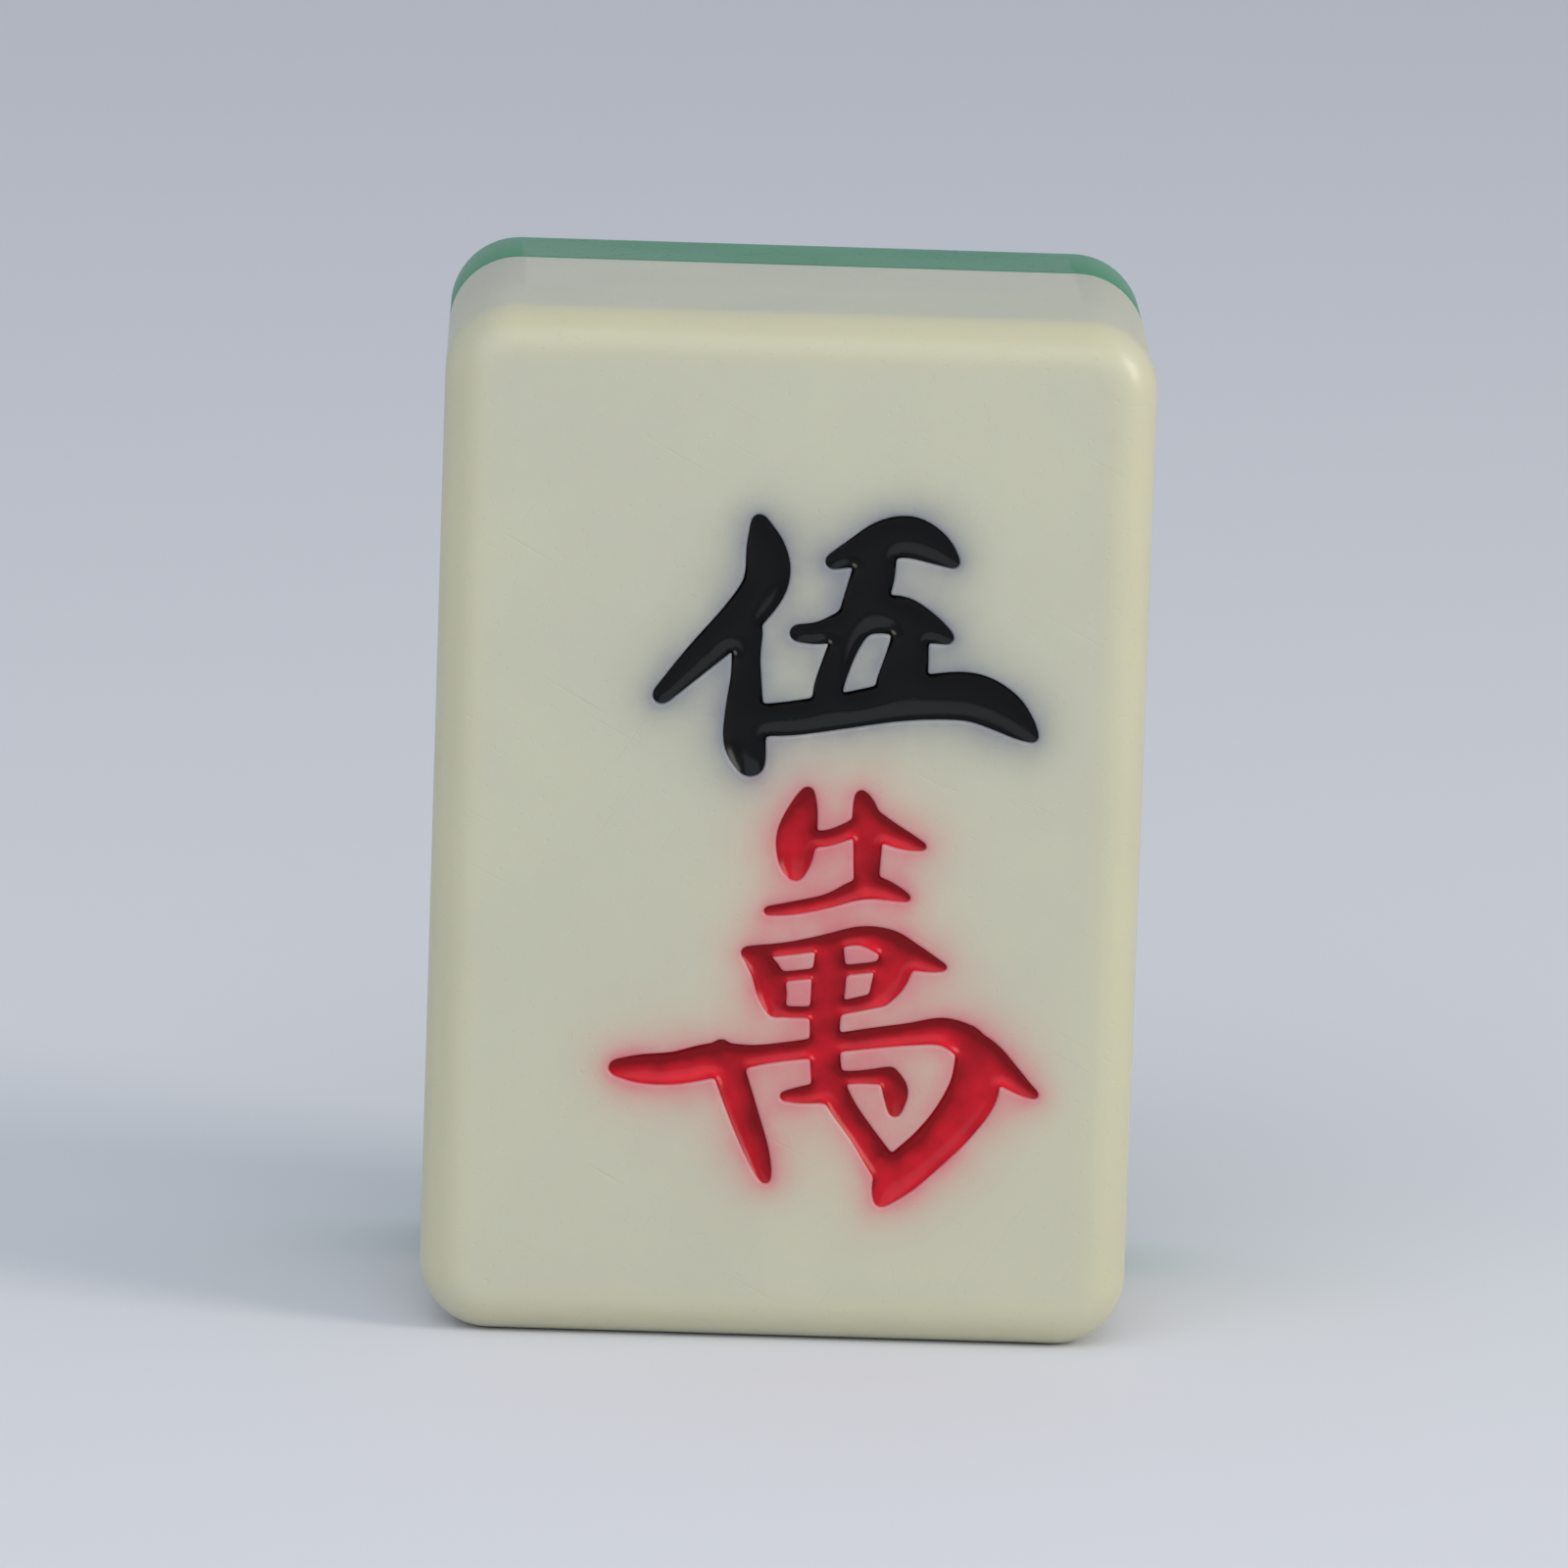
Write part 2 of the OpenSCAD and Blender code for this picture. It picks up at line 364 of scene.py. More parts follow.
def addLayer(name, node, outerAt, edgeRadius):
    # a block with its corners and its outer edge rounded and its seam edge just broken
    low, high = nodeBox(node)
    bpy.ops.object.select_all(action="DESELECT")
    bpy.ops.mesh.primitive_cube_add(size=1, location=(low + high) / 2, scale=high - low)
    layer = bpy.context.object
    layer.name = name
    bpy.ops.object.transform_apply(location=True, rotation=True, scale=True)
    startEditing(layer, "EDGE")
    pickEdges(layer, lambda edge: not inPlane(edge, edge.verts[0].co.y))
    bpy.ops.mesh.bevel(offset=layerShape["cornerRadius"], segments=layerShape["cornerSteps"],
                       profile=0.5, affect="EDGES")
    pickEdges(layer, lambda edge: inPlane(edge, outerAt))
    bpy.ops.mesh.bevel(offset=edgeRadius, segments=layerShape["edgeSteps"], profile=0.5,
                       affect="EDGES")
    pickEdges(layer, lambda edge: inPlane(edge, seamAt))
    bpy.ops.mesh.bevel(offset=layerShape["seamBreak"], segments=layerShape["seamSteps"],
                       profile=0.5, affect="EDGES")
    pickFaces(layer, wholeSide)
    bpy.ops.mesh.inset(thickness=layerShape["margin"], use_individual=True)
    stopEditing()
    return layer


faceAt = nodeBox("face_layer")[0].y
seamAt = nodeBox("face_layer")[1].y
backAt = nodeBox("back_layer")[1].y

ivoryLayer = addLayer("ivoryLayer", "face_layer", faceAt, layerShape["faceRadius"])
greenLayer = addLayer("greenLayer", "back_layer", backAt, layerShape["backRadius"])
print("layers:", len(ivoryLayer.data.polygons), "and", len(greenLayer.data.polygons), "faces")


# the engraving in the ivory

engraving = {
    "depth": 0.6,
    "lip": 0.06,            # radius of the rounded lip along every groove
    "lipSteps": 5,
    "paintedHaloRings": [0.1, 0.16, 0.25, 0.37, 0.54, 0.8, 1.15],     # further rings, for the painted halo of shade and glow round the marks
    "paintedHaloReach": 0.41,     # distance over which the painted halo of shade and glow round the enamels fades
    "spread": 0.6,          # between the points on the open face
    "weld": 0.0005,         # points nearer than this are one where the face joins the block
}


def engraveFace(layer):
    # swaps the flat of the face for one with lips along the marks, and sinks the grooves
    startEditing(layer, "FACE")
    pickFaces(layer, lambda face: wholeSide(face) and facesFront(face))
    editMesh = bmesh.from_edit_mesh(layer.data)
    flat = next(face for face in editMesh.faces if face.select)
    rim = np.array([(vert.co.x, vert.co.z) for vert in flat.verts])
    bpy.ops.mesh.delete(type="FACE")
    stopEditing()

    loops = [loop for node in markNodes for loop in outlines[node]]
    numeral = outlines["five_enamel"]
    suit = outlines["myriad_top_enamel"] + outlines["myriad_lower_enamel"]
    lip, steps = engraving["lip"], engraving["lipSteps"]
    lipRings = [lip * (1 - math.cos(math.pi / 2 * (step + 1) / steps)) for step in range(steps)]
    rings = lipRings + engraving["paintedHaloRings"]
    points, triangles = fillFlat(loops, rings, engraving["spread"], 1, rim)
    withinLip = np.clip(1 - distanceTo(loops, points) / lip, 0, 1)
    depths = lip * (1 - np.sqrt(1 - withinLip ** 2))
    masks = {}
    # the painted halos: shade round the black numeral and a red glow round the suit, standing in
    # for light through the resin
    for mask, marks in (("byNumeral", numeral), ("bySuit", suit)):
        walls = distanceTo(marks, points) < touching
        masks[mask] = spreading(points, triangles, walls, engraving["paintedHaloReach"])
    sheet = meshFrom("faceSheet", points, depths, triangles, masks)
    startEditing(sheet, "EDGE")
    pickEdges(sheet, lambda edge: edge.is_boundary and edge.verts[0].co.y > faceAt + lip / 2)
    sink = (0, engraving["depth"] - lip, 0)
    bpy.ops.mesh.extrude_region_move(TRANSFORM_OT_translate={"value": sink})
    bpy.ops.mesh.fill()
    stopEditing()

    workOn(layer)
    sheet.select_set(True)
    bpy.ops.object.join()
    startEditing(layer, "VERT")
    bpy.ops.mesh.select_all(action="SELECT")
    bpy.ops.mesh.remove_doubles(threshold=engraving["weld"])
    bpy.ops.mesh.dissolve_degenerate(threshold=engraving["weld"])
    bpy.ops.mesh.normals_make_consistent(inside=False)
    stopEditing()


engraveFace(ivoryLayer)
print("engraved face:", len(ivoryLayer.data.polygons), "faces")


# the enamel, seated in the grooves

enamelShape = {
    "seat": 0.004,          # how far the enamel bites into the groove's walls
    "wet": 0.085,           # depth below the face to which it climbs the walls
    "dip": 0.24,            # how much deeper it would lie far from any wall
    "cling": 0.22,          # distance from a wall over which its pull fades
    "rings": [0.015, 0.035, 0.06],      # rows of points along the walls, for the climb
    "spread": 0.045,        # between the points further in
}


def facingUp(points, triangles, depths):
    # how steeply the surface leans towards the tile's upper end at each point
    a, b, c = (triangles[:, corner] for corner in range(3))
    toB, toC = points[b] - points[a], points[c] - points[a]
    twiceArea = toB[:, 0] * toC[:, 1] - toC[:, 0] * toB[:, 1]
    rise = toB[:, 0] * (depths[c] - depths[a]) - toC[:, 0] * (depths[b] - depths[a])
    total, share = np.zeros(len(points)), np.full(len(points), settling["leastArea"])
    for corner in (a, b, c):
        total += np.bincount(corner, rise * np.sign(twiceArea), len(points))
        share += np.bincount(corner, np.abs(twiceArea), len(points))
    return total / share


def addEnamel(name, node):
    # a pool whose top climbs the groove's walls and sags between them, down to the groove's floor
    loops = [loop + outward(loop) * enamelShape["seat"] for loop in outlines[node]]
    points, triangles = fillFlat(loops, enamelShape["rings"], enamelShape["spread"], -1)
    walls = distanceTo(loops, points) < touching
    held = spreading(points, triangles, walls, enamelShape["cling"])
    depths = enamelShape["wet"] + enamelShape["dip"] * (1 - held)
    # the lean towards the upper end, which the enamels turn into painted light on each stroke's
    # lower side and painted shade on its upper side
    masks = {"pooled": 1 - held, "litLowerSide": facingUp(points, triangles, depths)}
    pool = meshFrom(name, points, depths, triangles, masks)
    startEditing(pool, "EDGE")
    pickEdges(pool, lambda edge: edge.is_boundary)
    down = (0, engraving["depth"] + enamelShape["seat"] - enamelShape["wet"], 0)
    bpy.ops.mesh.extrude_region_move(TRANSFORM_OT_translate={"value": down})
    bpy.ops.mesh.fill()
    bpy.ops.mesh.select_all(action="SELECT")
    bpy.ops.mesh.normals_make_consistent(inside=False)
    stopEditing()
    return pool


fiveEnamel = addEnamel("fiveEnamel", "five_enamel")
myriadTopEnamel = addEnamel("myriadTopEnamel", "myriad_top_enamel")
myriadLowerEnamel = addEnamel("myriadLowerEnamel", "myriad_lower_enamel")
for pool in (fiveEnamel, myriadTopEnamel, myriadLowerEnamel):
    print("enamel:", pool.name, len(pool.data.polygons), "faces")


# shader nodes

noiseSpan = (0.3, 0.7)  # nearly all values of a noise lie between these


def fromScreen(red, green, blue):
    # a colour as a screen shows it, 0 to 255, in the linear values that a shader takes
    shares = [value / 255 for value in (red, green, blue)]
    return (*[s / 12.92 if s < 0.04045 else ((s + 0.055) / 1.055) ** 2.4 for s in shares], 1)


def addNode(tree, kind, place, values=None, **settings):
    node = tree.nodes.new(kind)
    node.location = place
    for name, value in settings.items():
        setattr(node, name, value)
    for name, value in (values or {}).items():
        node.inputs[name].default_value = value
    return node


def addMath(tree, operation, place, a, b, clamp=False):
    # a and b are numbers or the sockets that feed the node
    node = addNode(tree, "ShaderNodeMath", place, operation=operation, use_clamp=clamp)
    for socket, value in zip(node.inputs, (a, b)):
        if isinstance(value, (int, float)):
            socket.default_value = value
        else:
            tree.links.new(value, socket)
    return node.outputs["Value"]


def addRange(tree, place, value, low, high, toLow=0.0, toHigh=1.0, ease="LINEAR"):
    node = addNode(tree, "ShaderNodeMapRange", place, {
        "From Min": low, "From Max": high, "To Min": toLow, "To Max": toHigh,
    }, interpolation_type=ease)
    tree.links.new(value, node.inputs["Value"])
    return node.outputs["Result"]


def addNoise(tree, place, vector, **values):
    # vector is the socket that says where on the piece the noise is read
    node = addNode(tree, "ShaderNodeTexNoise", place, values)
    tree.links.new(vector, node.inputs["Vector"])
    return node


def addMix(tree, place, share, a, b):
    # a colour mix. share, a and b are values or the sockets that feed the node
    node = addNode(tree, "ShaderNodeMix", place, data_type="RGBA")
    for socket, value in ((node.inputs[0], share), (node.inputs[6], a), (node.inputs[7], b)):
        if isinstance(value, (int, float, tuple)):
            socket.default_value = value
        else:
            tree.links.new(value, socket)
    return node.outputs[2]


def newGroup(name, inputs, outputs):
    # inputs maps each socket's name to its kind and its value, outputs to its kind
    group = bpy.data.node_groups.new(name, "ShaderNodeTree")
    for label, (kind, value) in inputs.items():
        socket = group.interface.new_socket(label, in_out="INPUT", socket_type="NodeSocket" + kind)
        socket.default_value = value
    for label, kind in outputs.items():
        group.interface.new_socket(label, in_out="OUTPUT", socket_type="NodeSocket" + kind)
    start = addNode(group, "NodeGroupInput", (-900, 0))
    end = addNode(group, "NodeGroupOutput", (900, 0))
    return group, start.outputs, end.inputs


def makeResinCloud():
    # slow, faint clouding of one colour into another through the resin
    group, given, made = newGroup("resinCloud", {
        "Colour": ("Color", (0.5, 0.5, 0.5, 1)),
        "Cloud": ("Color", (0.5, 0.5, 0.5, 1)),
        "Scale": ("Float", 300.0),
        "Amount": ("Float", 0.5),
    }, {"Colour": "Color"})
    where = addNode(group, "ShaderNodeTexCoord", (-900, -250))
    drift = addNoise(group, (-650, -200), where.outputs["Object"],
                     Detail=3.0, Roughness=0.55, Distortion=0.6)
    group.links.new(given["Scale"], drift.inputs["Scale"])
    cloud = addRange(group, (-400, -200), drift.outputs["Fac"], 0.25, 0.75, ease="SMOOTHSTEP")
    share = addMath(group, "MULTIPLY", (-150, -150), cloud, given["Amount"])
    clouded = addMix(group, (150, 0), share, given["Colour"], given["Cloud"])
    group.links.new(clouded, made["Colour"])
    return group


def makeEdgeBand():
    # 1 along the block's edges, falling to 0 within a band's width of them
    group, given, made = newGroup("edgeBand", {
        "Middle": ("Vector", (0, 0, 0)),
        "Half": ("Vector", (0.01, 0.01, 0.01)),
        "Width": ("Float", 0.001),
    }, {"Mask": "Float"})
    where = addNode(group, "ShaderNodeTexCoord", (-900, -250))
    fromMiddle = addNode(group, "ShaderNodeVectorMath", (-700, -150), operation="SUBTRACT")
    group.links.new(where.outputs["Object"], fromMiddle.inputs[0])
    group.links.new(given["Middle"], fromMiddle.inputs[1])
    size = addNode(group, "ShaderNodeVectorMath", (-520, -150), operation="ABSOLUTE")
    group.links.new(fromMiddle.outputs["Vector"], size.inputs[0])
    toWall = addNode(group, "ShaderNodeVectorMath", (-340, -150), operation="SUBTRACT")
    group.links.new(given["Half"], toWall.inputs[0])
    group.links.new(size.outputs["Vector"], toWall.inputs[1])
    axes = addNode(group, "ShaderNodeSeparateXYZ", (-160, -150))
    group.links.new(toWall.outputs["Vector"], axes.inputs["Vector"])
    near = []
    for number, axis in enumerate("XYZ"):
        share = addMath(group, "DIVIDE", (20, -100 * number), axes.outputs[axis], given["Width"])
        near.append(addMath(group, "SUBTRACT", (180, -100 * number), 1.0, share, clamp=True))
    pairs = []      # near two of the block's sides at once
    for number in range(3):
        other = near[(number + 1) % 3]
        pairs.append(addMath(group, "MULTIPLY", (360, -100 * number), near[number], other))
    most = addMath(group, "MAXIMUM", (540, 0), pairs[0], pairs[1])
    group.links.new(addMath(group, "MAXIMUM", (700, 0), most, pairs[2]), made["Mask"])
    return group


wear = {
    "hairlines": {              # each set's turn in degrees about Y and Z, and how rare it is
        "acrossFace": (28, 0, 0.7),
        "steepOnFace": (-57, 0, 0.71),
        "alongSides": (35, 90, 0.71),
        "overEnds": (0, 38, 0.71),
    },
    "hairlineSize": (0.004, 0.000125, 0.000125),    # rough length and widths, in metres
    "hairlineShift": (0.01, 0.02, 0.03),            # from each set to the next, in metres
    "hairlineFade": 0.06,
    "smudgeScale": 170.0,
    "smudgeSpan": (0.3, 0.8),
    "waveScale": 700.0,
}


def makeHandling():
    # what handling leaves: hairline scratches, smudges, and the faint waves of tumbled resin
    group, given, made = newGroup("handling", {
        "Scratches": ("Float", 0.5),
        "Smudges": ("Float", 0.5),
    }, {"Dulling": "Float", "Height": "Float"})
    where = addNode(group, "ShaderNodeTexCoord", (-900, -300)).outputs["Object"]
    fade = wear["hairlineFade"]
    lines = 0.0
    for number, (turnY, turnZ, rare) in enumerate(wear["hairlines"].values()):
        down = -220 * number
        turned = addNode(group, "ShaderNodeMapping", (-700, down), {
            "Location": [number * shift for shift in wear["hairlineShift"]],
            "Rotation": (0, math.radians(turnY), math.radians(turnZ)),
            "Scale": wear["hairlineSize"],
        }, vector_type="TEXTURE")
        group.links.new(where, turned.inputs["Vector"])
        streak = addNoise(group, (-500, down), turned.outputs["Vector"], Scale=1.0, Detail=1.0)
        line = addRange(group, (-300, down), streak.outputs["Fac"], rare, rare + fade)
        lines = addMath(group, "MAXIMUM", (-120, down), lines, line)
    scratches = addMath(group, "MULTIPLY", (60, -100), lines, given["Scratches"])
    smear = addNoise(group, (-500, 320), where, Scale=wear["smudgeScale"], Detail=2.0)
    greasy = addRange(group, (-300, 320), smear.outputs["Fac"], *wear["smudgeSpan"],
                      ease="SMOOTHSTEP")
    smudge = addMath(group, "MULTIPLY", (60, 300), greasy, given["Smudges"])
    dulling = addMath(group, "ADD", (300, 200), smudge, scratches, clamp=True)
    group.links.new(dulling, made["Dulling"])
    waves = addNoise(group, (-500, 560), where, Scale=wear["waveScale"], Detail=2.0)
    height = addMath(group, "SUBTRACT", (300, 0), waves.outputs["Fac"], scratches)
    group.links.new(height, made["Height"])
    return group


resinCloud = makeResinCloud()
edgeBand = makeEdgeBand()
handling = makeHandling()


def placeGroup(tree, group, place, **values):
    node = addNode(tree, "ShaderNodeGroup", place, node_tree=group)
    for name, value in values.items():
        node.inputs[name].default_value = value
    return node


def newFinish(name, look):
    material = bpy.data.materials.new(name)
    material.use_nodes = True
    shader = material.node_tree.nodes["Principled BSDF"]
    shader.location = (700, 0)
    material.node_tree.nodes["Material Output"].location = (1000, 0)
    for socket, value in look["shader"].items():
        shader.inputs[socket].default_value = value
    return material.node_tree, shader, material


def addSurface(tree, shader, look):
    # handling marks in the roughness and the relief
    worn = placeGroup(tree, handling, (-300, -400),
                      Scratches=look["scratches"], Smudges=look["smudges"])
    dulled = addRange(tree, (0, -350), worn.outputs["Dulling"], 0, 1,
                      look["roughness"], look["roughness"] + look["dulling"])
    tree.links.new(dulled, shader.inputs["Roughness"])
    bump = addNode(tree, "ShaderNodeBump", (300, -500), {
        "Strength": look["relief"], "Distance": look["reliefDepth"] * mm})
    tree.links.new(worn.outputs["Height"], bump.inputs["Height"])
    tree.links.new(bump.outputs["Normal"], shader.inputs["Normal"])


def resinColour(tree, look):
    # the clouded resin, with a painted tone along the block's edges for the light seen through the
    # thin resin there
    body = placeGroup(tree, resinCloud, (-700, 200), Colour=look["colour"], Cloud=look["cloud"],
                      Scale=look["cloudScale"], Amount=look["cloudAmount"])
    band = placeGroup(tree, edgeBand, (-700, -50), Middle=(cadLow + cadHigh) / 2,
                      Half=(cadHigh - cadLow) / 2, Width=look["edgeWidth"] * mm)
    share = addMath(tree, "MULTIPLY", (-500, -50), band.outputs["Mask"], look["edgeAmount"])
    return addMix(tree, (-300, 200), share, body.outputs["Colour"], look["edge"])


# ivory resin

ivoryLook = {
    "colour": fromScreen(192, 191, 172),
    "cloud": fromScreen(198, 197, 174),
    # painted yellow glow of light through the thin resin at the edges
    "edge": fromScreen(196, 190, 154),
    # painted halos round the marks: shade round the numeral and a red glow round the suit
    "paintedNumeralShade": fromScreen(86, 94, 122),
    "paintedSuitGlow": fromScreen(212, 62, 97),
    "cloudScale": 230.0,
    "cloudAmount": 0.7,
    "edgeWidth": 1.2,       # in millimetres, like the relief's depth
    "edgeAmount": 0.7,
    "paintedHaloAmount": 0.67,
    "paintedHaloUneven": (0.75, 1.2),     # the least and most of that amount from place to place
    "paintedHaloScale": 900.0,
    "roughness": 0.3,
    "dulling": 0.12,        # roughness that full smudges and scratches add
    "scratches": 0.8,
    "smudges": 0.6,
    "relief": 0.32,
    "reliefDepth": 0.02,
    "shader": {
        "IOR": 1.5,
        "Subsurface Weight": 0.6,
        "Subsurface Radius": (1.0, 0.85, 0.6),
        "Subsurface Scale": 0.8 * mm,
    },
}


def makeIvory(look):
    tree, shader, material = newFinish("ivoryResin", look)
    colour = resinColour(tree, look)
    where = addNode(tree, "ShaderNodeTexCoord", (-1100, 900))
    drift = addNoise(tree, (-900, 900), where.outputs["Object"],
                     Scale=look["paintedHaloScale"], Detail=3.0)
    least, most = (look["paintedHaloAmount"] * share for share in look["paintedHaloUneven"])
    taken = addRange(tree, (-700, 900), drift.outputs["Fac"], *noiseSpan, least, most)
    # the painted halos of shade and glow round the marks
    paintedHalos = {"byNumeral": look["paintedNumeralShade"], "bySuit": look["paintedSuitGlow"]}
    for number, (mask, haloColour) in enumerate(paintedHalos.items()):
        up = 450 + 200 * number
        stored = addNode(tree, "ShaderNodeAttribute", (-500, up), attribute_name=mask)
        share = addMath(tree, "MULTIPLY", (-100, up), stored.outputs["Fac"], taken)
        colour = addMix(tree, (100 + 200 * number, 200), share, colour, haloColour)
    tree.links.new(colour, shader.inputs["Base Color"])
    addSurface(tree, shader, look)
    return material


# green resin

greenLook = {
    "colour": fromScreen(34, 122, 80),
    "cloud": fromScreen(46, 140, 94),
    # painted lighter glow of light through the thin resin at the edges
    "edge": fromScreen(66, 156, 112),
    "cloudScale": 180.0,
    "cloudAmount": 0.6,
    "edgeWidth": 1.3,
    "edgeAmount": 0.5,
    "roughness": 0.29,
    "dulling": 0.16,
    "scratches": 1.0,
    "smudges": 0.7,
    "relief": 0.4,
    "reliefDepth": 0.02,
    "shader": {
        "IOR": 1.5,
        "Subsurface Weight": 0.15,
        "Subsurface Radius": (0.4, 1.0, 0.7),
        "Subsurface Scale": 0.4 * mm,
    },
}


def makeGreen(look):
    tree, shader, material = newFinish("greenResin", look)
    tree.links.new(resinColour(tree, look), shader.inputs["Base Color"])
    addSurface(tree, shader, look)
    return material


# enamels

enamelFinish = {            # what both enamels have
    "steep": 0.5,           # a side that leans this much is wholly an upper or a lower one
    "uneven": 0.2,          # how much the colour drifts from place to place
    "unevenScale": 1400.0,
    "roughness": 0.15,
    "dulling": 0.1,
    "scratches": 0.2,
    "smudges": 0.8,
    "relief": 0.3,
    "reliefDepth": 0.02,
    "shader": {"IOR": 1.5, "Specular IOR Level": 0.16},
}

blackLook = {
    **enamelFinish,
    # painted shade of the groove walls, where the enamel meets them
    "wall": fromScreen(4, 4, 4),
    "pooled": fromScreen(10, 10, 11),
    "wide": 0.9,            # how far the enamel has sagged where its colour is full
    "run": 0.45,            # how far painted shade on a stroke's upper side and painted light on its lower side set them apart
}

redLook = {
    **enamelFinish,
    # painted shade of the groove walls, where the enamel meets them
    "wall": fromScreen(130, 7, 18),
    "pooled": fromScreen(221, 28, 47),
    "wide": 1.6,
    # painted shade on the upper side and painted light on the lower side of each stroke
    "run": 0.6,
}


def makeEnamel(name, look):
    # darker along the walls, painted shade of the groove walls, and clearer where it has pooled;
    # darker on each stroke's upper side and lighter on its lower side: painted shade and light
    # from above
    tree, shader, material = newFinish(name, look)
    # how far each point lies from the walls; near them the colour takes the painted wall shade
    stored = addNode(tree, "ShaderNodeAttribute", (-900, 200), attribute_name="pooled")
    pooled = addRange(tree, (-700, 200), stored.outputs["Fac"], 0.0, look["wide"])
    # painted light and shade: lighter where the surface faces up, darker where it faces down
    lower = addNode(tree, "ShaderNodeAttribute", (-900, 450), attribute_name="litLowerSide")
    litAndShadedSides = addRange(tree, (-700, 450), lower.outputs["Fac"], -look["steep"], look["steep"],
                       -look["run"], look["run"])
    where = addNode(tree, "ShaderNodeTexCoord", (-900, 0))
    drift = addNoise(tree, (-700, 0), where.outputs["Object"],
                     Scale=look["unevenScale"], Detail=3.0)
    uneven = addRange(tree, (-500, 0), drift.outputs["Fac"], *noiseSpan,
                      -look["uneven"], look["uneven"])
    pooledAndLit = addMath(tree, "ADD", (-500, 300), pooled, litAndShadedSides)
    share = addMath(tree, "ADD", (-300, 100), pooledAndLit, uneven, clamp=True)
    colour = addMix(tree, (0, 100), share, look["wall"], look["pooled"])
    tree.links.new(colour, shader.inputs["Base Color"])
    addSurface(tree, shader, look)
    return material


ivoryResin = makeIvory(ivoryLook)
greenResin = makeGreen(greenLook)
blackEnamel = makeEnamel("blackEnamel", blackLook)
redEnamel = makeEnamel("redEnamel", redLook)
print("finishes mixed")


# each piece brought down to size, dressed and put in its node's place

smoothBelow = math.radians(40)  # faces that meet at less than this shade as one

for piece, node, slot, material in [
    (ivoryLayer, "face_layer", "ivory_resin", ivoryResin),
    (greenLayer, "back_layer", "green_resin", greenResin),
    (fiveEnamel, "five_enamel", "black_enamel", blackEnamel),
    (myriadTopEnamel, "myriad_top_enamel", "red_enamel", redEnamel),
    (myriadLowerEnamel, "myriad_lower_enamel", "red_enamel", redEnamel),
]:
    workOn(piece)
    piece.scale = (mm, mm, mm)
    bpy.ops.object.transform_apply(location=True, rotation=True, scale=True)
    bpy.ops.object.shade_smooth_by_angle(angle=smoothBelow)
    piece.data.materials.clear()
    piece.data.materials.append(material)
    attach(piece, "root")
    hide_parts(node)
print("pieces finished")


# floor, lights and camera

studio = {
    "floorColour": fromScreen(222, 223, 230),
    "floorRoughness": 0.85,
    "floorAt": -0.02,       # a hair below the tile, in millimetres
    "floorReach": 0.6,      # this and the bend in metres
    "floorBend": 0.25,      # radius with which the floor turns up behind the tile
    "bendSteps": 24,
    "roomColour": (0.88, 0.94, 1.0, 1),
    "roomStrength": 0.57,
}

lamps = {   # place and size in metres, power in watts, and colour
    "skyWindow": ((-0.07, -0.3, 0.21), (0.42, 0.34), 0.57, (0.92, 0.96, 1.0)),
    "warmSide": ((0.24, -0.12, 0.13), (0.11, 0.14), 0.36, (1.0, 0.93, 0.82)),
}

viewpoint = {
    "azimuth": -1.0,        # in degrees, like the two below
    "elevation": 10.0,
    "roll": 1.9,
    "distance": 0.30,       # in metres
    "lens": 320,            # in millimetres
    "nearest": 0.01,        # what the camera still sees, in metres
    "furthest": 10,
}


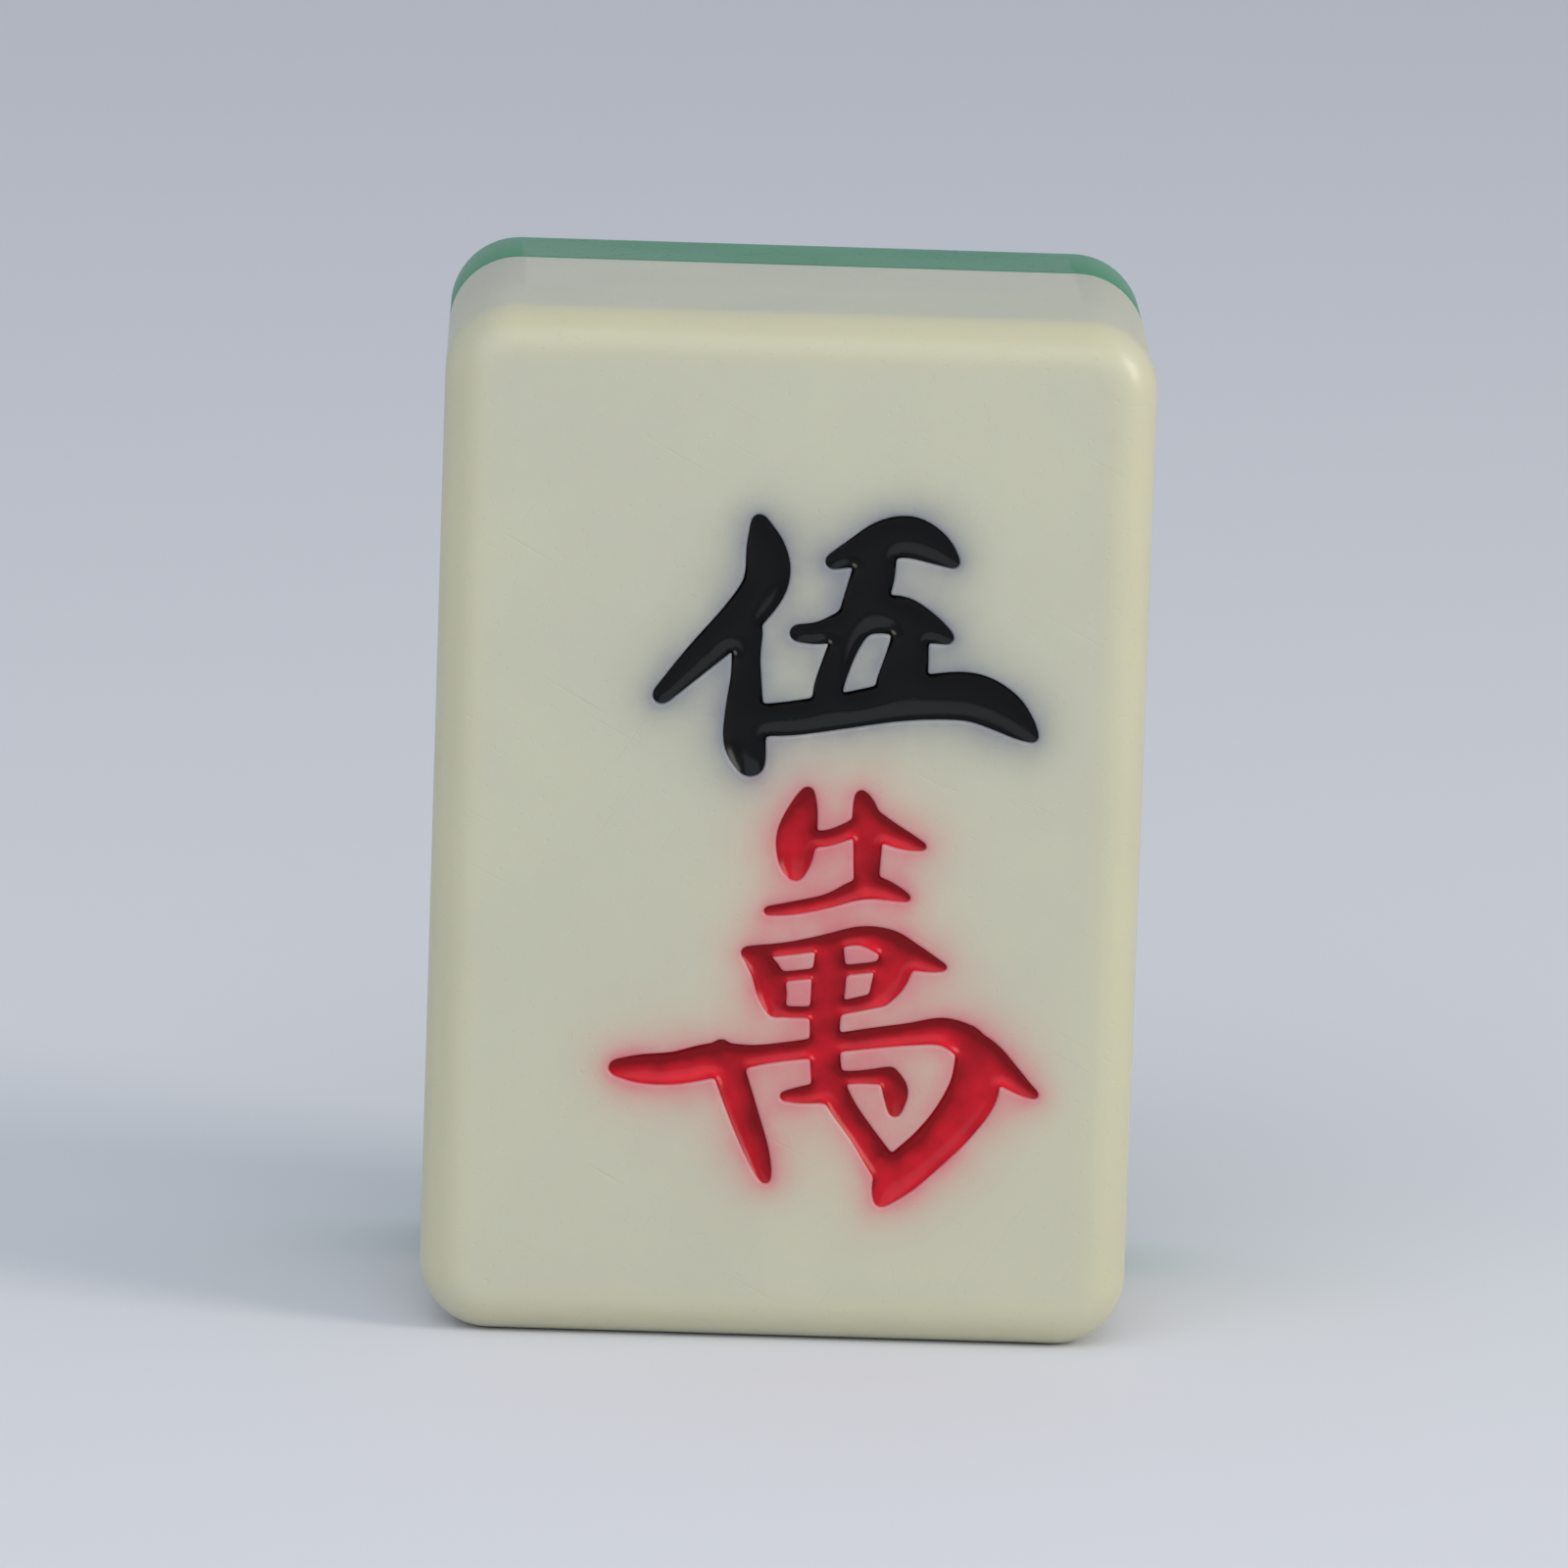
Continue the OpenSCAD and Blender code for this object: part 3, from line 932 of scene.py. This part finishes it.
def addFloor():
    bpy.ops.object.select_all(action="DESELECT")
    reach = studio["floorReach"]
    bpy.ops.mesh.primitive_plane_add(size=2 * reach, location=(0, 0, studio["floorAt"] * mm))
    floor = bpy.context.object
    floor.name = "floor"
    startEditing(floor, "EDGE")
    pickEdges(floor, lambda edge: all(vert.co.y > 0 for vert in edge.verts))
    bpy.ops.mesh.extrude_region_move(TRANSFORM_OT_translate={"value": (0, 0, reach)})
    pickEdges(floor, lambda edge: all(vert.co.y > 0 and vert.co.z < reach / 2
                                      for vert in edge.verts))
    bpy.ops.mesh.bevel(offset=studio["floorBend"], segments=studio["bendSteps"], profile=0.5,
                       affect="EDGES")
    stopEditing()
    bpy.ops.object.shade_smooth()
    paper = bpy.data.materials.new("paper")
    paper.use_nodes = True
    shader = paper.node_tree.nodes["Principled BSDF"]
    shader.inputs["Base Color"].default_value = studio["floorColour"]
    shader.inputs["Roughness"].default_value = studio["floorRoughness"]
    floor.data.materials.append(paper)


def addLamp(name, place, size, power, colour):
    data = bpy.data.lights.new(name, "AREA")
    data.shape = "RECTANGLE"
    data.size, data.size_y = size
    data.energy = power
    data.color = colour
    lamp = bpy.data.objects.new(name, data)
    bpy.context.scene.collection.objects.link(lamp)
    lamp.location = place
    toTile = (cadLow + cadHigh) / 2 - Vector(place)
    lamp.rotation_euler = toTile.to_track_quat("-Z", "Y").to_euler()


def addRoomLight():
    world = bpy.data.worlds.new("room")
    bpy.context.scene.world = world
    world.use_nodes = True
    background = world.node_tree.nodes["Background"]
    background.inputs["Color"].default_value = studio["roomColour"]
    background.inputs["Strength"].default_value = studio["roomStrength"]


def addCamera():
    azimuth, elevation = math.radians(viewpoint["azimuth"]), math.radians(viewpoint["elevation"])
    level = math.cos(elevation)
    back = Vector((math.sin(azimuth) * level, -math.cos(azimuth) * level, math.sin(elevation)))
    data = bpy.data.cameras.new("camera")
    data.lens = viewpoint["lens"]
    data.clip_start = viewpoint["nearest"]
    data.clip_end = viewpoint["furthest"]
    camera = bpy.data.objects.new("camera", data)
    bpy.context.scene.collection.objects.link(camera)
    camera.location = (cadLow + cadHigh) / 2 + back * viewpoint["distance"]
    camera.rotation_euler = (-back).to_track_quat("-Z", "Y").to_euler()
    camera.rotation_euler.rotate_axis("Z", math.radians(viewpoint["roll"]))
    bpy.context.scene.camera = camera


addFloor()
for name, lamp in lamps.items():
    addLamp(name, *lamp)
addRoomLight()
addCamera()
bpy.context.scene.view_settings.view_transform = "Standard"

print("scene ready")
